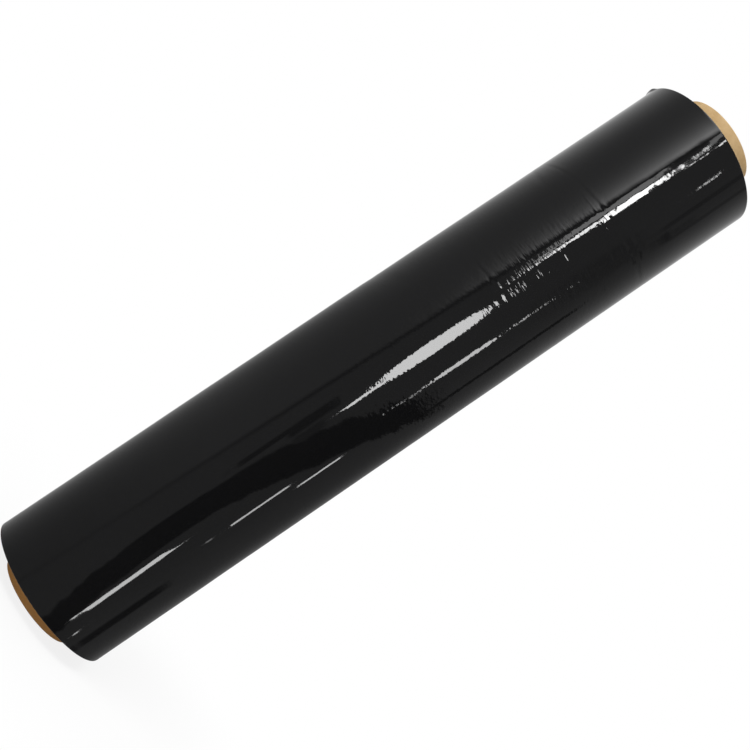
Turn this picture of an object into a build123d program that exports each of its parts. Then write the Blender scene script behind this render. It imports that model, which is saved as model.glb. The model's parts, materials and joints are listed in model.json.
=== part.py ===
from build123d import *

import os

# Stretch wrap roll: one long web of cling film wound on a paperboard core, standing on its end.
# Frame: millimetres, +Z up along the axis of the roll. The origin is the centre of the core's
# lower rim, which is the ring that the roll stands on.

# Core: a spiral-wound paperboard tube, cut square at both ends.
CORE_BORE = 50.0
CORE_WALL = 6.0
CORE_CUT_CHAMFER = 0.4  # the corner that the core cutter leaves

# Film: wound under tension, so that the first turn grips the core and all turns act as one body.
FILM_WIDTH = 500.0
FILM_BUILD_UP = 20.0  # radial depth of all the turns together
FILM_EDGE_ROUND = 0.8
WINDING_CLEARANCE = 0.0

# Lengths of bare core that stand out of the film. The web was wound a little nearer one end.
LOWER_OVERHANG = 10.0
UPPER_OVERHANG = 17.0

# Worked out from the sizes above.
CORE_INNER_RADIUS = CORE_BORE / 2
CORE_OUTER_RADIUS = CORE_INNER_RADIUS + CORE_WALL
CORE_LENGTH = LOWER_OVERHANG + FILM_WIDTH + UPPER_OVERHANG
FILM_INNER_RADIUS = CORE_OUTER_RADIUS + WINDING_CLEARANCE
FILM_OUTER_RADIUS = FILM_INNER_RADIUS + FILM_BUILD_UP


def hollow_cylinder(inner_radius, outer_radius, foot, height):
    """A ring-shaped solid around +Z, from the height of its foot upwards."""
    ring = Circle(outer_radius) - Circle(inner_radius)
    return Pos(0, 0, foot) * extrude(ring, height)


def circles_of_radius(solid, radius):
    """The circular edges of that radius, which lie at the solid's two ends."""
    round_edges = solid.edges().filter_by(GeomType.CIRCLE)
    return round_edges.filter_by(lambda edge: abs(edge.radius - radius) < 1e-6)


def make_core_tube():
    """The paperboard core, with a small chamfer on every cut corner."""
    tube = hollow_cylinder(CORE_INNER_RADIUS, CORE_OUTER_RADIUS, 0, CORE_LENGTH)
    corners = circles_of_radius(tube, CORE_INNER_RADIUS) + circles_of_radius(tube, CORE_OUTER_RADIUS)
    return chamfer(corners, CORE_CUT_CHAMFER)


def make_wound_film():
    """All the turns of the web as one body, square-ended, with its two outer rims softened."""
    winding = hollow_cylinder(FILM_INNER_RADIUS, FILM_OUTER_RADIUS, LOWER_OVERHANG, FILM_WIDTH)
    return fillet(circles_of_radius(winding, FILM_OUTER_RADIUS), FILM_EDGE_ROUND)


def main():
    os.makedirs("parts", exist_ok=True)
    export_step(make_core_tube(), "parts/core_tube.step")
    export_step(make_wound_film(), "parts/wound_film.step")
    print(f"roll {2 * FILM_OUTER_RADIUS:g} mm across, {CORE_LENGTH:g} mm tall")
    print(f"core {CORE_BORE:g} mm bore, {2 * CORE_OUTER_RADIUS:g} mm outside")


main()
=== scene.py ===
# %% [markdown]
# # A roll of black stretch film on a paperboard core
#
# The real thing is a long web of glossy cling film, wound tight on a kraft paper tube.
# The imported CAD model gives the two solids, their sizes and their places, and nothing here moves them.
# This lesson gives them their looks: the waves and creases of the web, the cut edges of the turns,
# the plies of the paperboard, and the studio that the glossy film mirrors.

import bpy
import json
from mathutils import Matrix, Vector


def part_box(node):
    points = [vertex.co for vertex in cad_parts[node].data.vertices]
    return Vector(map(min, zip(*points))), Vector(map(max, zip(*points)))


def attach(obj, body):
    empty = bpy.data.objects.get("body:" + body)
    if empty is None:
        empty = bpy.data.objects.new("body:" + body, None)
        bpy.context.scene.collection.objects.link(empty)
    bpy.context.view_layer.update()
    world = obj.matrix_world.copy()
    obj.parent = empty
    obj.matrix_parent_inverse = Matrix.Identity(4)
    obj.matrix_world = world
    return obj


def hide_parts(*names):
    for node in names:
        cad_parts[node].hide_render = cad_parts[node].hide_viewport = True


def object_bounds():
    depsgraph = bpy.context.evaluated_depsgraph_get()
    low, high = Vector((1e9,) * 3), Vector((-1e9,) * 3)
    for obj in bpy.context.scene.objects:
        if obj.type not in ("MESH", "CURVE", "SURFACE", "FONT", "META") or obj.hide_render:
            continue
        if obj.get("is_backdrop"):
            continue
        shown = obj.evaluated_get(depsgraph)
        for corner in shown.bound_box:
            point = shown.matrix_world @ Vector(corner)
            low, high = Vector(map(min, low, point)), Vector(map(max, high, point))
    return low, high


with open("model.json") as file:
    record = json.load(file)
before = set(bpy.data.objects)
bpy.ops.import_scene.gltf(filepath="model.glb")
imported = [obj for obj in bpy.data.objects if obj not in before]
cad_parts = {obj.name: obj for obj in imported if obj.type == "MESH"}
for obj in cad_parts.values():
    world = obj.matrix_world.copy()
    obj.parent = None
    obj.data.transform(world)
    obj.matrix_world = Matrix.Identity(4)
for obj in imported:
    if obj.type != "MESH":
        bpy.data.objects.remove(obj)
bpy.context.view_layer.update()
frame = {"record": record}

# %% [markdown]
# ## Sizes
#
# Every size below starts from the frame: a node's box gives its radius and its two ends, and the
# record's bore mount gives the hole through the core. What the frame doesn't hold, such as the depth
# of a crease, is written in millimetres and turned into metres by one factor.

# %% Read the sizes of the two wound pieces
import json
import math

import bmesh
import bpy
from mathutils import Matrix, Vector

MM = 0.001
film_low, film_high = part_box("wound_film")
core_low, core_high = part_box("core_tube")
film_radius = film_high.x
core_radius = core_high.x
bore_radius = next(m for m in frame["record"]["mounts"] if m["name"] == "core_bore")["dims"]["r_mm"] * MM
scene = bpy.context.scene
print("film radius", round(film_radius, 4), "core radius", round(core_radius, 4), "bore radius", bore_radius)

# %% [markdown]
# ## Wires: node trees written as sums
#
# A shape or a finish that follows a rule is a formula, and Blender's nodes are how a formula is laid
# out. Wiring each Math node by hand takes four lines and hides the rule. The small class below wraps
# one output socket, so that `radius + depth * waves` adds the two Math nodes by itself. The same wires
# work in a shader, in a shader group and in a geometry tree, because all three share these nodes.

# %% Wires
class Wire:
    """One output socket of a node tree. Arithmetic on wires adds Math nodes to the tree."""

    def __init__(self, socket):
        self.socket = socket

    def __add__(self, other):
        return maths("ADD", self, other)

    def __sub__(self, other):
        return maths("SUBTRACT", self, other)

    def __mul__(self, other):
        return maths("MULTIPLY", self, other)

    def __truediv__(self, other):
        return maths("DIVIDE", self, other)

    def __rsub__(self, other):
        return maths("SUBTRACT", other, self)

    __radd__ = __add__
    __rmul__ = __mul__


def plug(socket, value):
    """Links a wire to an input socket, or writes a plain value into it."""
    if isinstance(value, Wire):
        socket.id_data.links.new(value.socket, socket)
    else:
        socket.default_value = value


def node(tree, kind, inputs=(), **settings):
    """Adds one node. inputs pairs a socket's name or number with its wire or value."""
    made = tree.nodes.new(kind)
    for name, value in settings.items():
        setattr(made, name, value)
    for name, value in dict(inputs).items():
        plug(made.inputs[name], value)
    return made


def tree_of(*values):
    return next(v for v in values if isinstance(v, Wire)).socket.id_data


def maths(operation, *values):
    made = node(tree_of(*values), "ShaderNodeMath", enumerate(values), operation=operation)
    return Wire(made.outputs[0])


def ramp(value, low, high, kind="LINEAR"):
    """0 below low, 1 above high, and a straight or smooth rise between them."""
    sockets = {0: value, 1: low, 2: high}
    made = node(tree_of(value), "ShaderNodeMapRange", sockets, interpolation_type=kind)
    return Wire(made.outputs[0])


def smooth(value, low, high):
    return ramp(value, low, high, "SMOOTHSTEP")


def window(value, low, high, edge):
    """1 between low and high, with soft edges, and 0 outside."""
    return smooth(value, low - edge, low + edge) * (1.0 - smooth(value, high - edge, high + edge))


def ridge(distance, width):
    """A rounded hill, 1 where distance is 0 and almost 0 at two widths from it."""
    share = distance / width
    return maths("EXPONENT", 0.0 - share * share)


def split(vector):
    made = node(tree_of(vector), "ShaderNodeSeparateXYZ", {0: vector})
    return [Wire(s) for s in made.outputs]


def join(x, y, z):
    return Wire(node(tree_of(x, y, z), "ShaderNodeCombineXYZ", {0: x, 1: y, 2: z}).outputs[0])


def noise(vector, detail=2.0, roughness=0.5):
    """Soft noise from about 0.25 to 0.75, one hill for each unit of the vector."""
    inputs = {"Vector": vector, "Scale": 1.0, "Detail": detail, "Roughness": roughness}
    return Wire(node(tree_of(vector), "ShaderNodeTexNoise", inputs).outputs[0])


def blend_colours(share, first, second):
    """first where share is 0, second where it is 1."""
    tree = tree_of(share, first, second)
    made = tree.nodes.new("ShaderNodeMix")
    made.data_type = "RGBA"
    plug(made.inputs[0], share)
    plug(made.inputs[6], first)
    plug(made.inputs[7], second)
    return Wire(made.outputs[2])


print("wires ready")

# %% [markdown]
# ## Camera
#
# The roll is seen from the side, a little below its middle, with the camera rolled over so that the
# roll runs from the lower left to the upper right. A long lens would flatten it: this one is close,
# and the near end looks a little thicker than the far one.

# %% Camera
CAMERA_DISTANCE = 0.681
CAMERA_LOOKS_UP = math.radians(4.82)
CAMERA_ROLL = math.radians(55.89)
CAMERA_LENS = 50.85
aim = Vector((1.6 * MM, 0.6 * MM, 253 * MM))
forward = Vector((0, math.cos(CAMERA_LOOKS_UP), math.sin(CAMERA_LOOKS_UP)))
level = Vector((1, 0, 0))
upright = level.cross(forward)
camera_place = aim - forward * CAMERA_DISTANCE
camera_right = level * math.cos(CAMERA_ROLL) + upright * math.sin(CAMERA_ROLL)
camera_up = upright * math.cos(CAMERA_ROLL) - level * math.sin(CAMERA_ROLL)
camera_data = bpy.data.cameras.new("camera")
camera_data.lens = CAMERA_LENS
camera = bpy.data.objects.new("camera", camera_data)
camera.matrix_world = (
    Matrix.Translation(camera_place) @ Matrix((camera_right, camera_up, -forward)).transposed().to_4x4()
)
scene.collection.objects.link(camera)
scene.camera = camera
scene.view_settings.view_transform = "Standard"
print("camera at", [round(v, 3) for v in camera_place])

# %% [markdown]
# ## The white background and the light
#
# The world does three jobs. A ray from the camera meets plain white. A ray that bounced off the gloss
# meets the same white, shaded by what stands in a real studio: it is dimmer in front of the roll, where
# the room is, and a few dark shapes lie in it. A diffuse ray meets a plain grey, which lights the roll.
#
# A studio could be built from cards and stands, but every ray would then have to find them. Drawing it
# in the world's nodes is quicker, and it has no shadow of its own. Two coordinates are enough: swing,
# the angle in degrees round the roll from the camera's side, and rise, which is how steeply a ray climbs.
# The glow is the edge of a bright wall, high up on the left, with a dark frame along it. The dark curve
# is a dark cloth hung beside the camera. The dark rails are the frames and stands.

# %% World
BACKDROP = 1.0
AMBIENT = 0.55
world = bpy.data.worlds.new("studio")
world.use_nodes = True
scene.world = world
tree = world.node_tree
tree.nodes.clear()
path = tree.nodes.new("ShaderNodeLightPath").outputs
ways = node(tree, "ShaderNodeTexCoord").outputs["Generated"]
way_x, way_y, rise = split(Wire(ways))
swing = maths("ARCTAN2", way_x, 0.0 - way_y) * math.degrees(1)

# How bright each direction is. The front is the dim room, and the sides are the lit walls.
to_the_side = smooth(maths("ABSOLUTE", swing), 80.0, 128.0)
left_of_camera = 1.0 - smooth(swing, -30.0, 40.0)
above_glow_edge = (rise * 41.2 - 26.3) - swing
beyond_glow_edge = smooth(above_glow_edge, -2.0, 4.0) * smooth(rise, -0.24, -0.06)
front_level = 0.43 + beyond_glow_edge * 0.13
climb = smooth(rise, 0.02, 0.52)
side_level = 0.25 + left_of_camera * 0.20 + climb * 0.52
studio_level = front_level * (1.0 - to_the_side) + side_level * to_the_side

# The bright wall's glow, strongest at its edge, and the dark frame along that edge.
GLOW_PEAK = 10.0
GLOW_REACH = 12.0
glow_strength = ramp(rise, 0.12, 0.44)
glow_fade = maths("EXPONENT", maths("MAXIMUM", above_glow_edge, 0.0) / -GLOW_REACH)
glow = glow_strength * glow_strength * glow_fade * smooth(above_glow_edge, -1.0, 6.5) * GLOW_PEAK
glow_rim = ridge(above_glow_edge + 2.4, 2.8) * (0.20 + smooth(rise, -0.20, 0.10) * 0.42)

# The dark curve: a bow in swing over rise, wider where it climbs.
curve_rise = rise + 0.15
curve = 20.7 + curve_rise * curve_rise * 1040.0
curve_reach = 15.4 + smooth(rise, -0.11, -0.02) * 8.0
dark_curve = (1.0 - smooth(maths("ABSOLUTE", swing - curve) / curve_reach, 0.86, 1.06)) * 0.90
dark_curve = dark_curve * (1.0 - smooth(rise, 0.10, 0.13))

# Each rail: its swing, its half width, the rise where it starts and ends, and how dark it is.
DARK_RAILS = (
    (1.0, 3.2, -0.07, 0.01, 0.75),
    (4.5, 6.0, -0.012, 0.036, 0.75),
    (18.5, 5.5, -0.01, 0.02, 0.5),
    (98.6, 2.6, 0.08, 0.275, 0.8),
    (90.6, 6.0, -0.276, -0.185, 0.85),
    (62.0, 16.0, 0.275, 0.35, 0.3),
    (66.0, 3.5, 0.36, 0.66, 0.4),
    (89.0, 3.0, 0.36, 0.66, 0.35),
    (81.0, 8.0, 0.357, 0.371, 0.7),
    (83.0, 6.0, 0.381, 0.387, 0.6),
)
shade = maths("MAXIMUM", dark_curve, glow_rim)
for rail_swing, reach, low, high, depth in DARK_RAILS:
    rail = window(swing, rail_swing - reach, rail_swing + reach, reach * 0.4)
    shade = maths("MAXIMUM", shade, rail * window(rise, low, high, 0.01) * depth)

mirrored = studio_level * (1.0 - shade) + glow
seen = maths("MAXIMUM", Wire(path["Is Camera Ray"]), Wire(path["Is Transmission Ray"]))
glossy = Wire(path["Is Glossy Ray"])
seen_or_glossy = maths("MAXIMUM", seen, glossy)
backdrop = BACKDROP * seen + mirrored * glossy * (1.0 - seen)
strength = backdrop + AMBIENT * (1.0 - seen_or_glossy)
background = node(tree, "ShaderNodeBackground", {"Color": (1, 1, 1, 1), "Strength": strength})
world_out = node(tree, "ShaderNodeOutputWorld")
tree.links.new(background.outputs[0], world_out.inputs[0])
print("world nodes", len(tree.nodes))

# %% [markdown]
# ## Floor
#
# The roll stands on a plain pale floor. Near the roll a part of the floor is an ordinary matt surface,
# so it takes a soft shadow. Farther out it turns into the white of the background, and its rim can't be
# seen. Light that bounces off the floor meets a plain pale colour, which fills in the paperboard below
# the film. The film doesn't mirror the floor: the roll is close to it, so its image would cover the
# lower third of the film with one flat grey.

# %% Floor
FLOOR_RADIUS = 0.9
FLOOR_SIDES = 96
FLOOR_SHADE = 0.16
FLOOR_COLOUR = 0.78
floor_mesh = bpy.data.meshes.new("floor")
corners = [math.tau * side / FLOOR_SIDES for side in range(FLOOR_SIDES)]
rim = [(FLOOR_RADIUS * math.cos(a), FLOOR_RADIUS * math.sin(a), 0) for a in corners]
floor_mesh.from_pydata(rim, [], [tuple(range(FLOOR_SIDES))])
floor = bpy.data.objects.new("floor", floor_mesh)
scene.collection.objects.link(floor)
floor_paint = bpy.data.materials.new("pale_floor")
floor_paint.use_nodes = True
tree = floor_paint.node_tree
paint = tree.nodes["Principled BSDF"]
place = Wire(node(tree, "ShaderNodeTexCoord").outputs["Object"])
floor_x, floor_y, _ = split(place)
distance = maths("SQRT", floor_x * floor_x + floor_y * floor_y)
matt = (1.0 - smooth(distance, 0.07, 0.34)) * (0.97 + noise(place) * 0.06)
grey = matt * FLOOR_SHADE
path = tree.nodes.new("ShaderNodeLightPath").outputs
seen = maths("MAXIMUM", Wire(path["Is Camera Ray"]), Wire(path["Is Glossy Ray"]))
seen = maths("MAXIMUM", seen, Wire(path["Is Transmission Ray"]))
own = grey * seen + FLOOR_COLOUR * (1.0 - seen)
plug(paint.inputs["Base Color"], join(own, own, own))
plug(paint.inputs["Roughness"], 0.8)
plug(paint.inputs["Specular IOR Level"], 0.0)
plug(paint.inputs["Emission Color"], (1, 1, 1, 1))
plug(paint.inputs["Emission Strength"], seen * (1.0 - grey))
floor_mesh.materials.append(floor_paint)
floor.visible_glossy = False
floor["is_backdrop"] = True
print("floor disc", FLOOR_RADIUS, "m in radius")

# %% [markdown]
# ## Lamps, placed by the mirror law
#
# The film is a black mirror, so each bright streak on it is the image of a lamp. A lamp for a streak
# isn't found by trying: from the camera, the sight line to the streak is mirrored at the film, and the
# lamp stands where that line goes. Each streak is given by its two heights on the roll, its swing round
# the roll from the camera's side, and its width. These lamps are only seen in gloss, because paperboard
# under all of them would be far too bright. Two broad lamps, above everything that the film mirrors,
# light the paperboard and the floor. A third stands low in front, and reaches the board that the film
# overhangs. It is left out of the gloss.

# %% Lamps
LAMP_REACH = 1.2


def mirrored_place(height, around):
    """Where the sight line to a point of the film goes after its bounce, one lamp's reach away."""
    normal = Vector((math.sin(around), -math.cos(around), 0))
    point = normal * film_radius + Vector((0, 0, height))
    sight = (point - camera_place).normalized()
    return point, point + sight.reflect(normal) * LAMP_REACH


def streak_lamp(name, low, high, around, width, radiance, slant=0.0, shape="RECTANGLE"):
    """A lamp whose image on the film runs from low to high (mm), around and width in degrees."""
    _, foot = mirrored_place(low * MM, math.radians(around - slant / 2))
    _, head = mirrored_place(high * MM, math.radians(around + slant / 2))
    middle = (low + high) / 2 * MM
    point, centre = mirrored_place(middle, math.radians(around))
    _, one_side = mirrored_place(middle, math.radians(around - width / 2))
    _, other_side = mirrored_place(middle, math.radians(around + width / 2))
    data = bpy.data.lights.new(name, "AREA")
    data.shape = shape
    data.size = (head - foot).length
    data.size_y = (other_side - one_side).length
    area = data.size * data.size_y * (1.0 if shape == "RECTANGLE" else math.pi / 4)
    data.energy = radiance * math.pi * area
    along = (head - foot).normalized()
    back = ((centre - point) - along * (centre - point).dot(along)).normalized()
    lamp = bpy.data.objects.new(name, data)
    turn = Matrix((along, back.cross(along), back)).transposed().to_4x4()
    lamp.matrix_world = Matrix.Translation((foot + head) / 2) @ turn
    lamp.visible_diffuse = False
    scene.collection.objects.link(lamp)
    return lamp


# Each streak: its name, its lower and upper height (mm), its swing and width (degrees), how bright it
# is, how far it leans (degrees), and the lamp's shape.
STREAKS = (
    ("lower_streak", 31, 94, 23.0, 2.3, 22, -1.8, "RECTANGLE"),
    ("lower_dash", 17, 21, 33.6, 0.9, 18, 0.0, "RECTANGLE"),
    ("second_dots", 107, 115, 32.6, 0.9, 5, 0.0, "RECTANGLE"),
    ("second_streak", 126, 169, 32.5, 1.2, 18, 0.0, "RECTANGLE"),
    ("third_streak", 174, 204, 37.0, 1.2, 18, 0.0, "RECTANGLE"),
    ("main_streak", 246, 332, 8.0, 8.0, 27, 0.0, "ELLIPSE"),
    ("main_streak_tail", 219, 247, 9.2, 1.5, 27, -0.6, "RECTANGLE"),
    ("thin_streak_first_dot", 249, 251, 28.0, 1.2, 19, 0.0, "ELLIPSE"),
    ("thin_streak_blur", 260, 268, 28.8, 1.8, 7, 0.0, "ELLIPSE"),
    ("thin_streak", 274, 327, 28.2, 2.6, 22, 0.0, "ELLIPSE"),
    ("thin_streak_last_dots", 341, 353, 28.2, 1.1, 16, 0.0, "RECTANGLE"),
    ("ribbed_streak", 372, 381, 0.0, 3.2, 17, 0.0, "RECTANGLE"),
    ("grey_streak", 382, 466, -2.3, 2.9, 5.5, 0.5, "RECTANGLE"),
    ("beaded_edge", 383, 420, 1.0, 1.5, 40, 0.3, "RECTANGLE"),
    ("upper_streak", 424, 456, 1.6, 3.4, 55, 0.4, "RECTANGLE"),
    ("upper_blob", 460.5, 467, 1.7, 3.6, 55, 0.0, "ELLIPSE"),
    ("upper_knot", 473.5, 478.5, 1.8, 3.4, 50, 0.0, "ELLIPSE"),
    ("upper_thread", 480.5, 487, 4.0, 0.8, 40, 0.0, "RECTANGLE"),
    ("upper_bead", 489, 491.5, 1.2, 3.4, 30, 0.0, "ELLIPSE"),
    ("upper_haze", 495, 512, -0.6, 4.0, 4.5, 0.4, "RECTANGLE"),
    ("upper_streak_end", 503, 512, 3.9, 1.1, 34, 0.0, "RECTANGLE"),
    ("first_dot", 479.5, 481.3, 20.9, 1.5, 34, 0.0, "ELLIPSE"),
    ("second_dot", 486, 487.8, 20.9, 1.5, 34, 0.0, "ELLIPSE"),
    ("third_dot", 490.2, 491.6, 20.2, 1.7, 28, 0.0, "ELLIPSE"),
)
for streak in STREAKS:
    streak_lamp(*streak)


def broad_lamp(name, place, size, radiance):
    """A round lamp that faces the roll's middle."""
    data = bpy.data.lights.new(name, "AREA")
    data.shape = "DISK"
    data.size = size
    data.energy = radiance * math.pi * math.pi * size * size / 4
    lamp = bpy.data.objects.new(name, data)
    lamp.location = place
    lamp.rotation_mode = "QUATERNION"
    lamp.rotation_quaternion = (Vector(place) - aim).to_track_quat("Z", "Y")
    scene.collection.objects.link(lamp)
    return lamp


broad_lamp("key", (-0.55, -0.9, 1.55), 0.9, 7.5)
broad_lamp("back_light", (0.5, 0.8, 1.9), 0.9, 3.0)
low_fill = broad_lamp("low_fill", (0.0, -1.3, 0.10), 0.16, 16.0)
low_fill.visible_glossy = False
print(len(STREAKS), "streak lamps and 3 broad lamps")

# %% [markdown]
# ## One tree for both wound pieces
#
# Film and core are made alike: a strip is wound into a thick-walled tube with square ends. A spun
# profile would be a perfect cylinder, and the real thing isn't one. So a geometry tree lays the tube
# out row by row, along the section and around the axis, and then pushes each point by formulas:
# swell where the web is thicker, fine ribs, creases, the cut edges of the turns at both ends, the lip
# that a knock has raised on the rim, and the ridge of the last turn's end. Rows are closer together
# where the film is ribbed, and towards both rims, where the side turns a sharp corner. Walking round
# the section in this order leaves the faces pointing inwards, so the tree turns them over. A shell with
# its faces outwards holds a positive volume, which is printed for each piece.

# %% The wound tube's geometry tree
def socket(tree, name, kind, value=None):
    made = tree.interface.new_socket(name, in_out="INPUT", socket_type="NodeSocket" + kind)
    if value is not None:
        made.default_value = value
    return made


TUBE_SIZES = ("Inner radius", "Outer radius", "Lower end", "Upper end", "Edge round", "Fine from", "Fine to")
TUBE_STEPS = ("Steps around", "Face steps", "Rim steps", "Steps below", "Fine steps", "Steps above",
              "Bore steps")
TUBE_MARKS = ("Swell", "Rib depth", "Crease depth", "Lip", "Tail ridge", "Layer spacing", "Layer depth")

# Each crease: its height (mm), its slope (mm for each degree), its width (mm), the swing where it starts
# and ends (degrees), and its share of the crease depth.
CREASES = (
    (337.5, 0.03, 1.0, -26.0, 12.0, 0.6),
    (417.5, 0.05, 1.1, -70.0, 26.0, 0.8),
    (423.5, 0.02, 1.3, 10.0, 62.0, 0.8),
    (284.0, 0.28, 2.6, -88.0, -44.0, 1.0),
    (291.0, 0.22, 1.8, -84.0, -30.0, 0.7),
    (412.0, -0.20, 2.0, -90.0, -50.0, 0.8),
    (24.7, 0.04, 0.8, -9.0, -3.0, 0.9),
    (196.0, 0.10, 2.2, 120.0, 168.0, 0.9),
    (322.0, -0.12, 2.0, -170.0, -118.0, 0.9),
)


def tube_tree():
    """Lays a wound tube out row by row: lower face, rim, side, rim, upper face and bore."""
    tree = bpy.data.node_groups.new("wound_tube", "GeometryNodeTree")
    tree.interface.new_socket("Geometry", in_out="OUTPUT", socket_type="NodeSocketGeometry")
    for name in TUBE_SIZES:
        socket(tree, name, "Float")
    for name in TUBE_STEPS:
        socket(tree, name, "Int")
    for name in TUBE_MARKS:
        socket(tree, name, "Float")
    socket(tree, "Finish", "Material")
    given = {o.name: Wire(o) for o in node(tree, "NodeGroupInput").outputs if o.name}

    inner, outer = given["Inner radius"], given["Outer radius"]
    lower, upper, edge = given["Lower end"], given["Upper end"], given["Edge round"]
    rows_in_order = ("Face steps", "Rim steps", "Steps below", "Fine steps", "Steps above", "Rim steps",
                     "Face steps", "Bore steps")
    total = 0.0
    for name in rows_in_order:
        total = given[name] + total
    grid = node(tree, "GeometryNodeMeshGrid", {"Size X": 1.0, "Size Y": 1.0, "Vertices X": total + 1.0,
                                               "Vertices Y": given["Steps around"] + 1.0})
    grid_x, grid_y, _ = split(Wire(node(tree, "GeometryNodeInputPosition").outputs[0]))
    row = (grid_x + 0.5) * total
    turn = (grid_y + 0.5) * math.tau - math.pi

    # Each leg of the section goes from 0 to 1 over its own rows, so a sum of legs walks round the section.
    legs = []
    start = 0.0
    for name in rows_in_order:
        legs.append(ramp(row, start, given[name] + start))
        start = given[name] + start
    face_out, rim_up, below, fine, above, rim_in, face_in, bore = legs
    quarter = math.pi / 2
    lower_bend = rim_up * quarter
    upper_bend = rim_in * quarter
    radius = inner + (outer - inner - edge) * (face_out - face_in)
    radius = radius + edge * (maths("SINE", lower_bend) + maths("COSINE", upper_bend) - 1.0)
    height = lower + edge * (1.0 - maths("COSINE", lower_bend) + maths("SINE", upper_bend))
    close_to_lower_rim = maths("POWER", below, 1.5)
    close_to_upper_rim = 1.0 - maths("POWER", 1.0 - above, 1.5)
    height = height + (given["Fine from"] - lower - edge) * close_to_lower_rim
    height = height + (given["Fine to"] - given["Fine from"]) * fine
    height = height + (upper - edge - given["Fine to"]) * close_to_upper_rim - (upper - lower) * bore

    side_x, side_y = maths("SINE", turn), 0.0 - maths("COSINE", turn)
    degrees = turn * math.degrees(1)
    outward = ramp(radius, inner, outer)
    z_mm = height / MM

    def stretched(around_mm, along_mm, detail=2.0):
        spread = film_radius / MM / around_mm
        return noise(join(side_x * spread, side_y * spread, z_mm / along_mm), detail) - 0.5

    # Broad swell, and a body that is a little fuller in its lower half.
    bands = stretched(900.0, 38.0, 3.0) * 1.4 + stretched(120.0, 70.0, 1.0) * 0.8
    fuller = 1.0 - smooth(z_mm, 255.0, 420.0) * 0.6
    push = given["Swell"] * (bands + fuller * 1.7)

    # Ribs where the web was wound slack.
    rib_zone = window(z_mm, 345.0, 412.0, 12.0) * window(degrees, -17.0, 40.0, 9.0)
    ribs = stretched(26.0, 2.3, 2.0) * rib_zone + stretched(60.0, 9.0, 1.0) * 0.5
    push = push + given["Rib depth"] * ribs

    wander = stretched(24.0, 60.0, 1.0) * 2.4
    for z_at, slope, width, first, last, depth in CREASES:
        off = z_mm - z_at - (degrees - first) * slope - wander
        along = window(degrees, first, last, min(9.0, (last - first) * 0.3))
        hill = ridge(off, width) - ridge(off - 1.6 * width, width * 1.2) * 0.7
        push = push - given["Crease depth"] * hill * along * depth

    # A ledge where the web shifted, the lip of a knock on the upper rim, and the end of the last turn.
    ledge = smooth(z_mm, 279.0, 285.0) * window(degrees, -130.0, -40.0, 25.0)
    push = push - given["Crease depth"] * ledge * 1.6
    knock = window(degrees, -99.0, -80.0, 5.0) * smooth(z_mm - upper / MM, -3.5, -0.2)
    push = push + given["Lip"] * knock
    tail_edge = degrees - 148.0 - stretched(300.0, 120.0, 1.0) * 3.0
    tail = smooth(tail_edge, 0.0, 0.7) * (1.0 - smooth(tail_edge, 2.0, 24.0))
    push = push + given["Tail ridge"] * tail
    radius = radius + push * outward * (1.0 - bore) * MM

    # The edges of the turns stand at slightly different depths on the two end faces.
    r_mm = radius / MM
    layers = noise(join(r_mm / given["Layer spacing"], side_x * 0.35, side_y * 0.35), 2.0) - 0.5
    broad_layers = noise(join(r_mm / 5.0, side_x * 0.5, side_y * 0.5 + 7.0), 1.0) - 0.5
    on_faces = (1.0 - smooth(rim_up, 0.0, 0.6)) + smooth(rim_in, 0.4, 1.0)
    on_faces = on_faces * (1.0 - bore) * window(outward, 0.04, 1.0, 0.03)
    sunk = given["Layer depth"] * (0.75 - layers - broad_layers * 1.5) * on_faces * MM
    towards_middle = 1.0 - 2.0 * smooth(row, total * 0.3, total * 0.31)
    height = height + sunk * towards_middle

    shaped = join(radius * side_x, radius * side_y, height)
    flat = Wire(grid.outputs["Mesh"])
    moved = node(tree, "GeometryNodeSetPosition", {"Geometry": flat, "Position": shaped})
    merged = node(tree, "GeometryNodeMergeByDistance", {"Geometry": Wire(moved.outputs[0]), "Distance": 1e-6})
    outward_faces = node(tree, "GeometryNodeFlipFaces", {"Mesh": Wire(merged.outputs[0])})
    rounded = node(tree, "GeometryNodeSetShadeSmooth", {"Geometry": Wire(outward_faces.outputs[0])})
    real = node(tree, "GeometryNodeRealizeInstances", {"Geometry": Wire(rounded.outputs[0])})
    painted = node(tree, "GeometryNodeSetMaterial", {"Geometry": Wire(real.outputs[0])})
    plug(painted.inputs["Material"], given["Finish"])
    out = node(tree, "NodeGroupOutput")
    plug(out.inputs[0], Wire(painted.outputs[0]))
    return tree


def grown(name, tree, given):
    """Runs the tree with the given inputs, and keeps what it makes as a plain mesh."""
    seed = bpy.data.objects.new(name + "_seed", bpy.data.meshes.new(name + "_seed"))
    scene.collection.objects.link(seed)
    modifier = seed.modifiers.new("wound", "NODES")
    modifier.node_group = tree
    for item in tree.interface.items_tree:
        if item.in_out == "INPUT":
            modifier[item.identifier] = given[item.name]
    evaluated = seed.evaluated_get(bpy.context.evaluated_depsgraph_get())
    mesh = bpy.data.meshes.new_from_object(evaluated)
    piece = bpy.data.objects.new(name, mesh)
    scene.collection.objects.link(piece)
    bpy.data.objects.remove(seed)
    shell = bmesh.new()
    shell.from_mesh(mesh)
    litres = shell.calc_volume(signed=True) * 1000
    open_edges = sum(not edge.is_manifold for edge in shell.edges)
    shell.free()
    print(name, "has", len(mesh.vertices), "points and", len(mesh.loop_triangles), "triangles")
    print(name, "holds", round(litres, 3), "litres, with", open_edges, "open edges")
    return piece


wound = tube_tree()
print("tube tree of", len(wound.nodes), "nodes")

# %% [markdown]
# ## Shared surface effects
#
# Both materials need unevenness that is stretched around the roll, and both show the edges of their
# turns where they are cut. Each effect is a shader group with named inputs, built once.

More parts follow.
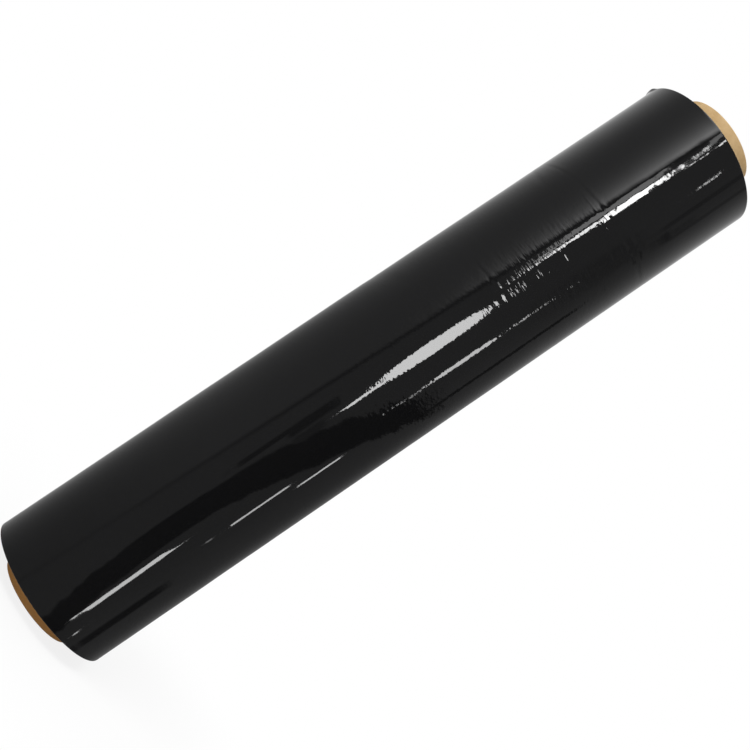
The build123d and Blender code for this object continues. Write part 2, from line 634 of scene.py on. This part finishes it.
# %% Shader groups
def effect(name, inputs, outputs, build):
    """A shader group: build gets the inputs as wires and returns one wire for each output."""
    tree = bpy.data.node_groups.new(name, "ShaderNodeTree")
    for label, value in inputs.items():
        socket(tree, label, "Float", value)
    for label in outputs:
        tree.interface.new_socket(label, in_out="OUTPUT", socket_type="NodeSocketFloat")
    given = {o.name: Wire(o) for o in node(tree, "NodeGroupInput").outputs if o.name}
    place = Wire(node(tree, "ShaderNodeTexCoord").outputs["Object"])
    out = node(tree, "NodeGroupOutput")
    for number, wire in enumerate(build(given, *split(place))):
        plug(out.inputs[number], wire)
    return tree


def use(tree, group, **values):
    """Places a group in a material with its own values, and returns its outputs as wires."""
    made = node(tree, "ShaderNodeGroup", node_tree=group)
    for label, value in values.items():
        plug(made.inputs[label.replace("_", " ").capitalize()], value)
    return [Wire(s) for s in made.outputs]


def uneven(given, x, y, z):
    around, along = given["Around"], given["Along"]
    return [noise(join(x / (around * MM), y / (around * MM), z / (along * MM)), given["Detail"])]


def layer_edges(given, x, y, z):
    radius = maths("SQRT", x * x + y * y) / MM
    wobble = noise(join(x * 30.0, y * 30.0, z * 30.0)) * 0.3
    return [noise(join(radius / given["Spacing"], wobble, z * 2.0), 3.0, 0.6)]


unevenness = effect("unevenness", {"Around": 10.0, "Along": 10.0, "Detail": 2.0}, ["Value"], uneven)
layer_lines = effect("layer_lines", {"Spacing": 1.0}, ["Value"], layer_edges)
print("effects:", unevenness.name, layer_lines.name)

# %% [markdown]
# ## Black film
#
# The film is dyed right through, so hardly any light comes back from inside it: nearly all that is
# seen of it is its gloss. That makes the waviness of the web the real subject. Several heights feed one
# bump: a fine orange peel from the blowing of the film, longer waves near the upper end, ribs and a
# crumpled patch where the web was wound slack, a few sharp folds, and the cut edges of the turns on both
# ends, which are also far less glossy. A mesh fine enough for all this would be far too heavy, so the
# large shapes are in the mesh, and what is under a few millimetres is in the bump.

# %% Film material
def bump_of(tree, height, strength=1.0):
    """height is in millimetres."""
    made = node(tree, "ShaderNodeBump", {"Strength": strength, "Distance": MM, "Height": height})
    return Wire(made.outputs[0])


# Each fold: its height (mm), the swing where it starts and ends (degrees), and its depth (mm).
FOLDS = (
    (340.7, -4.0, 1.0, 0.05),
    (385.3, 5.0, 13.0, 0.07),
    (416.3, -20.0, -4.0, 0.035),
    (416.3, 5.0, 12.0, 0.07),
)


def film_paint():
    material = bpy.data.materials.new("black_stretch_film")
    material.use_nodes = True
    tree = material.node_tree
    paint = tree.nodes["Principled BSDF"]
    x, y, z = split(Wire(node(tree, "ShaderNodeTexCoord").outputs["Object"]))
    z_mm = z / MM
    degrees = maths("ARCTAN2", x, 0.0 - y) * math.degrees(1)
    radius_mm = maths("SQRT", x * x + y * y) / MM
    on_side = smooth(radius_mm, film_radius / MM - 2.4, film_radius / MM - 1.2)

    peel = use(tree, unevenness, around=3.4, along=2.4, detail=1.0)[0] - 0.5
    peel = peel * (0.006 + window(z_mm, 232.0, 425.0, 16.0) * 0.034)
    waves = use(tree, unevenness, around=3.2, along=7.5, detail=1.0)[0] - 0.5
    waves = waves * (0.006 + smooth(z_mm, 400.0, 425.0) * window(degrees, -6.0, 8.0, 3.0) * 0.026)
    slack = window(z_mm, 342.0, 396.0, 10.0) + window(z_mm, 396.0, 416.0, 8.0) * 0.4
    slack = slack * window(degrees, -20.0, 38.0, 9.0)
    ribs = use(tree, unevenness, around=13.0, along=1.7, detail=2.0)[0] - 0.5
    patches = use(tree, unevenness, around=14.0, along=12.0, detail=1.0)[0]
    ribs = ribs * slack * (0.35 + smooth(patches, 0.36, 0.60) * 0.65)
    crumple = use(tree, unevenness, around=6.0, along=2.8, detail=2.0)[0] - 0.5
    crumple = crumple * window(z_mm, 376.0, 423.0, 8.0) * window(degrees, 22.0, 46.0, 6.0)
    folds = 0.0
    for fold_at, first, last, depth in FOLDS:
        across = z_mm - fold_at - waves * 8.0
        folds = ridge(across, 0.7) * window(degrees, first, last, 3.0) * depth + folds
    layers = use(tree, layer_lines, spacing=0.35)[0] - 0.5
    wrinkles = peel + waves + ribs * 0.14 + crumple * 0.10 + folds
    relief = wrinkles * on_side + layers * 0.10 * (1.0 - on_side)

    dust = smooth(use(tree, unevenness, around=60.0, along=90.0, detail=4.0)[0], 0.45, 0.75)
    ends = 1.0 - on_side
    darkness = 0.0048 + dust * 0.0010 + ends * (0.004 + layers * 0.006)
    plug(paint.inputs["Base Color"], join(darkness, darkness, darkness * 1.06))
    plug(paint.inputs["Roughness"], 0.035 + dust * 0.02 + ends * 0.34)
    plug(paint.inputs["Specular IOR Level"], 0.25)
    plug(paint.inputs["Normal"], bump_of(tree, relief))
    return material


black_film = film_paint()
print("film material of", len(black_film.node_tree.nodes), "nodes")

# %% [markdown]
# ## The wound film
#
# On the real roll this is one web, about 250 m long, wound so tight that its turns act as one body. So
# it is one piece here too, and the turns only show as fine edges on its two end faces.

# %% Wound film
film = grown("film_roll", wound, {
    "Inner radius": core_radius, "Outer radius": film_radius,
    "Lower end": film_low.z, "Upper end": film_high.z, "Edge round": 0.5 * MM,
    "Fine from": 332 * MM, "Fine to": 430 * MM,
    "Steps around": 288, "Face steps": 22, "Rim steps": 3,
    "Steps below": 132, "Fine steps": 112, "Steps above": 34, "Bore steps": 1,
    "Swell": 0.22, "Rib depth": 0.05, "Crease depth": 0.08, "Lip": 1.4, "Tail ridge": 0.10,
    "Layer spacing": 0.9, "Layer depth": 0.22, "Finish": black_film,
})
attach(film, "root")
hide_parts("wound_film")

# %% [markdown]
# ## Paperboard core
#
# The core is a spiral-wound tube of brown kraft board. What shows of it is a short collar at each end,
# the cut ends with the edges of its plies, and the bore. Kraft is never one brown: fibres and small
# flecks break it up. The collar that the roll stands on has painted shade: its colour is made deeper and
# more orange, for the shade under the film's overhang and the orange cast of light bounced there.

# %% Board material
SEAM_PITCH = 92.0  # mm that the outer strip of paper climbs in one turn


def board_paint():
    material = bpy.data.materials.new("kraft_board")
    material.use_nodes = True
    tree = material.node_tree
    paint = tree.nodes["Principled BSDF"]
    x, y, z = split(Wire(node(tree, "ShaderNodeTexCoord").outputs["Object"]))
    z_mm = z / MM
    degrees = maths("ARCTAN2", x, 0.0 - y) * math.degrees(1)
    radius_mm = maths("SQRT", x * x + y * y) / MM
    fibres = use(tree, unevenness, around=2.2, along=0.5, detail=4.0)[0]
    clouds = use(tree, unevenness, around=9.0, along=7.0, detail=3.0)[0]
    flecks = smooth(use(tree, unevenness, around=0.8, along=0.6, detail=2.0)[0], 0.62, 0.72)
    plies = use(tree, layer_lines, spacing=0.75)[0]

    wall_middle = (core_radius + bore_radius) / 2 / MM
    half_wall = (core_radius - bore_radius) / 2 / MM
    into_wall = maths("ABSOLUTE", radius_mm - wall_middle)
    on_cut = 1.0 - smooth(into_wall, half_wall - 0.5, half_wall - 0.2)

    strip = maths("FRACT", degrees / 360.0 + z_mm / SEAM_PITCH + 0.30)
    seam = ridge(strip - 0.5, 0.0035)

    shade = fibres * 0.55 + clouds * 0.75 - 0.15
    colour = blend_colours(ramp(shade, 0.25, 0.75), (0.54, 0.35, 0.155, 1), (0.68, 0.48, 0.25, 1))
    colour = blend_colours(flecks * 0.35, colour, (0.30, 0.18, 0.08, 1))
    colour = blend_colours(on_cut * (0.25 + ramp(plies, 0.35, 0.65) * 0.35), colour, (0.36, 0.23, 0.11, 1))
    colour = blend_colours(seam * 0.5, colour, (0.22, 0.13, 0.06, 1))
    # Painted shade: below about 30 mm the board is blended to a deeper orange, for the shade under the film's
    # overhang and the orange cast of light bounced there.
    painted_foot_shade = (1.0 - smooth(z_mm, 8.0, 30.0)) * 0.8
    colour = blend_colours(painted_foot_shade, colour, (0.66, 0.30, 0.075, 1))
    relief = fibres * 0.05 + clouds * 0.05 - seam * 0.15 + (plies - 0.5) * on_cut * 0.25
    plug(paint.inputs["Base Color"], colour)
    plug(paint.inputs["Roughness"], 0.78 + fibres * 0.2)
    plug(paint.inputs["Specular IOR Level"], 0.25)
    plug(paint.inputs["Normal"], bump_of(tree, relief))
    return material


kraft = board_paint()
print("board material of", len(kraft.node_tree.nodes), "nodes")

# %% [markdown]
# ## The core's mesh
#
# A tube with a chamfer would do for its outline. The same tree as for the film also gives it the edges
# of its plies and a slight swell, and bore rows close enough for the seam to follow.

# %% Paperboard core
core = grown("core_board", wound, {
    "Inner radius": bore_radius, "Outer radius": core_radius,
    "Lower end": core_low.z, "Upper end": core_high.z, "Edge round": 0.4 * MM,
    "Fine from": film_low.z + 2 * MM, "Fine to": film_high.z - 2 * MM,
    "Steps around": 240, "Face steps": 14, "Rim steps": 3,
    "Steps below": 14, "Fine steps": 20, "Steps above": 22, "Bore steps": 60,
    "Swell": 0.10, "Rib depth": 0.0, "Crease depth": 0.0, "Lip": 0.0, "Tail ridge": 0.0,
    "Layer spacing": 0.8, "Layer depth": 0.16, "Finish": kraft,
})
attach(core, "root")
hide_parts("core_tube")

# %% [markdown]
# ## Last measures
#
# The box of the roll as it renders is measured, with the floor left out.

# %% Measure the roll's box
low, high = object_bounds()
